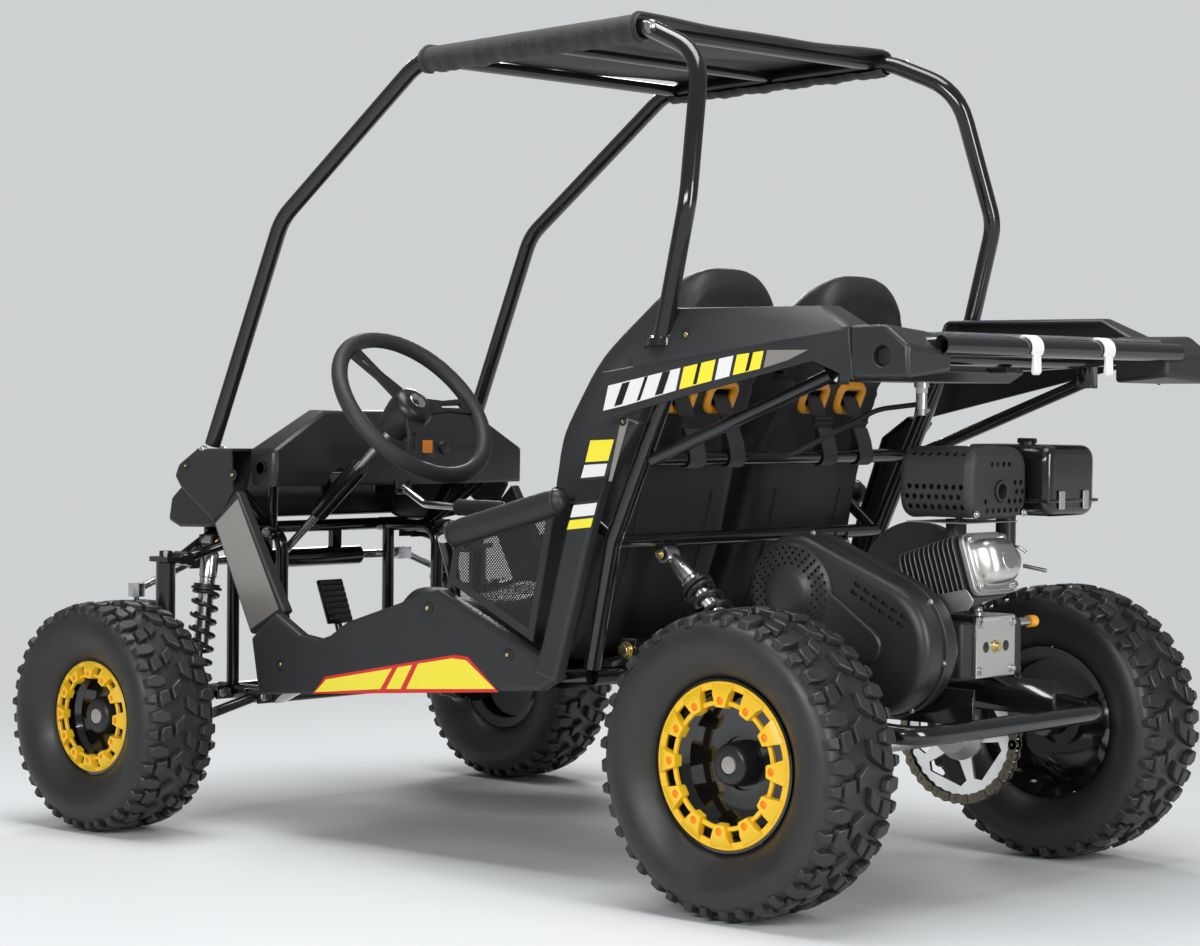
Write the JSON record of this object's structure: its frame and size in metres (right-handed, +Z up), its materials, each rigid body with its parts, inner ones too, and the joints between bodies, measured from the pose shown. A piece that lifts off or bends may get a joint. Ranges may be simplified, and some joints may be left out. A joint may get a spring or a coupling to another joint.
{
  "type": "off road go kart",
  "caption": "Two-seat off-road go kart with a tube cage, coil-over suspension on every corner and a rear chain-driven axle.",
  "frame": {"origin": "centre of the footprint on the ground", "axes": "+X forward, +Y to the driver's left, +Z up"},
  "size_m": [1.6216, 1.05, 1.1994],
  "materials": {
    "gloss_black": "gloss powder coat",
    "matte_plastic": "fine-grained moulding",
    "tyre_rubber": "moulded rubber",
    "rim_yellow": "yellow ring on a gloss black rim",
    "seat_cover": "woven cover over foam",
    "cloth": "woven",
    "bright_metal": "zinc plated",
    "cast_metal": "as cast",
    "heat_black": "matt heat-proof paint",
    "switch_orange": "moulded",
    "clear_sheet": "clear sheet"
  },
  "bodies": {
    "chassis": {"main_frame": "gloss_black", "rear_frame": "gloss_black", "roll_cage": "gloss_black", "canopy": "cloth", "front_cowl": "matte_plastic", "dash_panel": "matte_plastic", "rear_deck": "clear_sheet", "fuel_tank": "matte_plastic", "side_panel_left": "matte_plastic", "side_panel_right": "matte_plastic", "rear_fairing_left": "matte_plastic", "rear_fairing_right": "matte_plastic", "seat_left": "seat_cover", "seat_right": "seat_cover", "side_net_left": "seat_cover", "side_net_right": "seat_cover"},
    "steering": {"steering_wheel": "matte_plastic"},
    "rack": {"steering_rack": "bright_metal"},
    "throttle": {"throttle_pedal": "gloss_black"},
    "brake": {"brake_pedal": "gloss_black"},
    "lever": {"gear_lever": "bright_metal"},
    "rocker": {"rocker_switch": "switch_orange"},
    "rear_arm": {"swing_arm": "gloss_black", "engine": "cast_metal", "muffler": "heat_black", "air_cleaner": "matte_plastic", "belt_cover": "heat_black", "gearbox": "cast_metal", "drive_chain": "bright_metal"},
    "rear_wheels": {"rear_axle": "bright_metal", "rear_rim_left": "rim_yellow", "rear_rim_right": "rim_yellow", "rear_tyre_left": "tyre_rubber", "rear_tyre_right": "tyre_rubber"},
    "lower_left": {"front_lower_arm_left": "gloss_black"},
    "upper_left": {"front_upper_arm_left": "gloss_black"},
    "upright_left": {"front_upright_left": "bright_metal"},
    "knuckle_left": {"front_knuckle_left": "gloss_black"},
    "tie_left": {"tie_rod_left": "bright_metal"},
    "front_wheel_left": {"front_rim_left": "rim_yellow", "front_tyre_left": "tyre_rubber"},
    "shock_left": {"front_shock_body_left": "bright_metal", "front_spring_left": "gloss_black"},
    "shock_rod_left": {"front_shock_rod_left": "bright_metal"},
    "rear_shock_left": {"rear_shock_body_left": "bright_metal", "rear_spring_left": "gloss_black"},
    "rear_shock_rod_left": {"rear_shock_rod_left": "bright_metal"},
    "lower_right": {"front_lower_arm_right": "gloss_black"},
    "upper_right": {"front_upper_arm_right": "gloss_black"},
    "upright_right": {"front_upright_right": "bright_metal"},
    "knuckle_right": {"front_knuckle_right": "gloss_black"},
    "tie_right": {"tie_rod_right": "bright_metal"},
    "front_wheel_right": {"front_rim_right": "rim_yellow", "front_tyre_right": "tyre_rubber"},
    "shock_right": {"front_shock_body_right": "bright_metal", "front_spring_right": "gloss_black"},
    "shock_rod_right": {"front_shock_rod_right": "bright_metal"},
    "rear_shock_right": {"rear_shock_body_right": "bright_metal", "rear_spring_right": "gloss_black"},
    "rear_shock_rod_right": {"rear_shock_rod_right": "bright_metal"}
  },
  "joints": [
    {"name": "steering_turn", "type": "hinge", "parent": "chassis", "child": "steering", "pos_m": [0.28208, 0.158, 0.657], "axis": [0.7771, 0, -0.6293], "range_deg": [-100, 100]},
    {"name": "rack_slide", "type": "slide", "parent": "chassis", "child": "rack", "axis": [0, 1, 0], "range_m": [-0.0312, 0.0312]},
    {"name": "throttle_press", "type": "hinge", "parent": "chassis", "child": "throttle", "pos_m": [0.48608, 0.092, 0.23184], "axis": [0, 1, 0], "range_deg": [0, 20], "stiffness_Nm_per_rad": 6, "springref_deg": -5.73},
    {"name": "brake_press", "type": "hinge", "parent": "chassis", "child": "brake", "pos_m": [0.48608, 0.225, 0.23184], "axis": [0, 1, 0], "range_deg": [0, 20], "stiffness_Nm_per_rad": 6, "springref_deg": -5.73},
    {"name": "lever_shift", "type": "hinge", "parent": "chassis", "child": "lever", "pos_m": [0.45408, 0.018, 0.526], "axis": [0, 1, 0], "range_deg": [-12, 12]},
    {"name": "rocker_tip", "type": "hinge", "parent": "chassis", "child": "rocker", "pos_m": [0.4453, -0.03, 0.592], "axis": [0, 1, 0], "range_deg": [-8, 8]},
    {"name": "rear_suspension", "type": "hinge", "parent": "chassis", "child": "rear_arm", "pos_m": [-0.22092, 0, 0.318], "axis": [0, 1, 0], "range_deg": [-6, 6], "stiffness_Nm_per_rad": 5000, "springref_deg": -2.86, "deforming": ["rear_spring_left", "rear_spring_right"]},
    {"name": "rear_axle_spin", "type": "hinge", "parent": "rear_arm", "child": "rear_wheels", "pos_m": [-0.55592, 0, 0.20156], "axis": [0, 1, 0], "continuous": true, "deforming": ["drive_chain"]},
    {"name": "front_suspension_left", "type": "hinge", "parent": "chassis", "child": "lower_left", "pos_m": [0.63408, 0.205, 0.192], "axis": [1, 0, 0], "range_deg": [-12, 12], "stiffness_Nm_per_rad": 1500, "springref_deg": -1.72, "deforming": ["front_spring_left"]},
    {"name": "upper_arm_turn_left", "type": "hinge", "parent": "chassis", "child": "upper_left", "pos_m": [0.63408, 0.205, 0.454], "axis": [1, 0, 0], "range_deg": [-12, 12]},
    {"name": "upright_turn_left", "type": "hinge", "parent": "lower_left", "child": "upright_left", "pos_m": [0.63408, 0.318, 0.152], "axis": [1, 0, 0], "range_deg": [-12, 12]},
    {"name": "kingpin_turn_left", "type": "hinge", "parent": "upright_left", "child": "knuckle_left", "pos_m": [0.63408, 0.352, 0.17673], "axis": [0, 0, 1], "range_deg": [-25, 25]},
    {"name": "front_wheel_spin_left", "type": "hinge", "parent": "knuckle_left", "child": "front_wheel_left", "pos_m": [0.63408, 0.455, 0.17673], "axis": [0, 1, 0], "continuous": true},
    {"name": "tie_rod_turn_left", "type": "hinge", "parent": "rack", "child": "tie_left", "pos_m": [0.70508, 0.239, 0.402], "axis": [1, 0, 0], "range_deg": [-12, 12]},
    {"name": "front_shock_turn_left", "type": "hinge", "parent": "chassis", "child": "shock_left", "pos_m": [0.63408, 0.258, 0.438], "axis": [1, 0, 0], "range_deg": [-2, 2]},
    {"name": "front_shock_rod_turn_left", "type": "hinge", "parent": "lower_left", "child": "shock_rod_left", "pos_m": [0.63408, 0.292, 0.186], "axis": [1, 0, 0], "range_deg": [-12, 12]},
    {"name": "rear_shock_turn_left", "type": "hinge", "parent": "chassis", "child": "rear_shock_left", "pos_m": [-0.27092, 0.2, 0.455], "axis": [0, 1, 0], "range_deg": [-5, 5]},
    {"name": "rear_shock_rod_turn_left", "type": "hinge", "parent": "rear_arm", "child": "rear_shock_rod_left", "pos_m": [-0.46092, 0.2, 0.3], "axis": [0, 1, 0], "range_deg": [-2, 2]},
    {"name": "front_suspension_right", "type": "hinge", "parent": "chassis", "child": "lower_right", "pos_m": [0.63408, -0.205, 0.192], "axis": [-1, 0, 0], "range_deg": [-12, 12], "stiffness_Nm_per_rad": 1500, "springref_deg": -1.72, "deforming": ["front_spring_right"]},
    {"name": "upper_arm_turn_right", "type": "hinge", "parent": "chassis", "child": "upper_right", "pos_m": [0.63408, -0.205, 0.454], "axis": [-1, 0, 0], "range_deg": [-12, 12]},
    {"name": "upright_turn_right", "type": "hinge", "parent": "lower_right", "child": "upright_right", "pos_m": [0.63408, -0.318, 0.152], "axis": [-1, 0, 0], "range_deg": [-12, 12]},
    {"name": "kingpin_turn_right", "type": "hinge", "parent": "upright_right", "child": "knuckle_right", "pos_m": [0.63408, -0.352, 0.17673], "axis": [0, 0, 1], "range_deg": [-25, 25]},
    {"name": "front_wheel_spin_right", "type": "hinge", "parent": "knuckle_right", "child": "front_wheel_right", "pos_m": [0.63408, -0.455, 0.17673], "axis": [0, 1, 0], "continuous": true},
    {"name": "tie_rod_turn_right", "type": "hinge", "parent": "rack", "child": "tie_right", "pos_m": [0.70508, -0.239, 0.402], "axis": [-1, 0, 0], "range_deg": [-12, 12]},
    {"name": "front_shock_turn_right", "type": "hinge", "parent": "chassis", "child": "shock_right", "pos_m": [0.63408, -0.258, 0.438], "axis": [-1, 0, 0], "range_deg": [-2, 2]},
    {"name": "front_shock_rod_turn_right", "type": "hinge", "parent": "lower_right", "child": "shock_rod_right", "pos_m": [0.63408, -0.292, 0.186], "axis": [-1, 0, 0], "range_deg": [-12, 12]},
    {"name": "rear_shock_turn_right", "type": "hinge", "parent": "chassis", "child": "rear_shock_right", "pos_m": [-0.27092, -0.2, 0.455], "axis": [0, 1, 0], "range_deg": [-5, 5]},
    {"name": "rear_shock_rod_turn_right", "type": "hinge", "parent": "rear_arm", "child": "rear_shock_rod_right", "pos_m": [-0.46092, -0.2, 0.3], "axis": [0, 1, 0], "range_deg": [-2, 2]}
  ],
  "couplings": [
    {"joint": "rack_slide", "follows": "steering_turn", "m_per_rad": -0.01776},
    {"joint": "upper_arm_turn_left", "follows": "front_suspension_left", "ratio": 1},
    {"joint": "upright_turn_left", "follows": "front_suspension_left", "ratio": -1},
    {"joint": "tie_rod_turn_left", "follows": "front_suspension_left", "ratio": 1},
    {"joint": "front_shock_turn_left", "follows": "front_suspension_left", "ratio": 0.067},
    {"joint": "front_shock_rod_turn_left", "follows": "front_suspension_left", "ratio": -0.933},
    {"joint": "kingpin_turn_left", "follows": "steering_turn", "ratio": -0.24},
    {"joint": "rear_shock_turn_left", "follows": "rear_suspension", "ratio": 0.804},
    {"joint": "rear_shock_rod_turn_left", "follows": "rear_suspension", "ratio": -0.196},
    {"joint": "upper_arm_turn_right", "follows": "front_suspension_right", "ratio": 1},
    {"joint": "upright_turn_right", "follows": "front_suspension_right", "ratio": -1},
    {"joint": "tie_rod_turn_right", "follows": "front_suspension_right", "ratio": 1},
    {"joint": "front_shock_turn_right", "follows": "front_suspension_right", "ratio": 0.067},
    {"joint": "front_shock_rod_turn_right", "follows": "front_suspension_right", "ratio": -0.933},
    {"joint": "kingpin_turn_right", "follows": "steering_turn", "ratio": -0.24},
    {"joint": "rear_shock_turn_right", "follows": "rear_suspension", "ratio": 0.804},
    {"joint": "rear_shock_rod_turn_right", "follows": "rear_suspension", "ratio": -0.196}
  ]
}
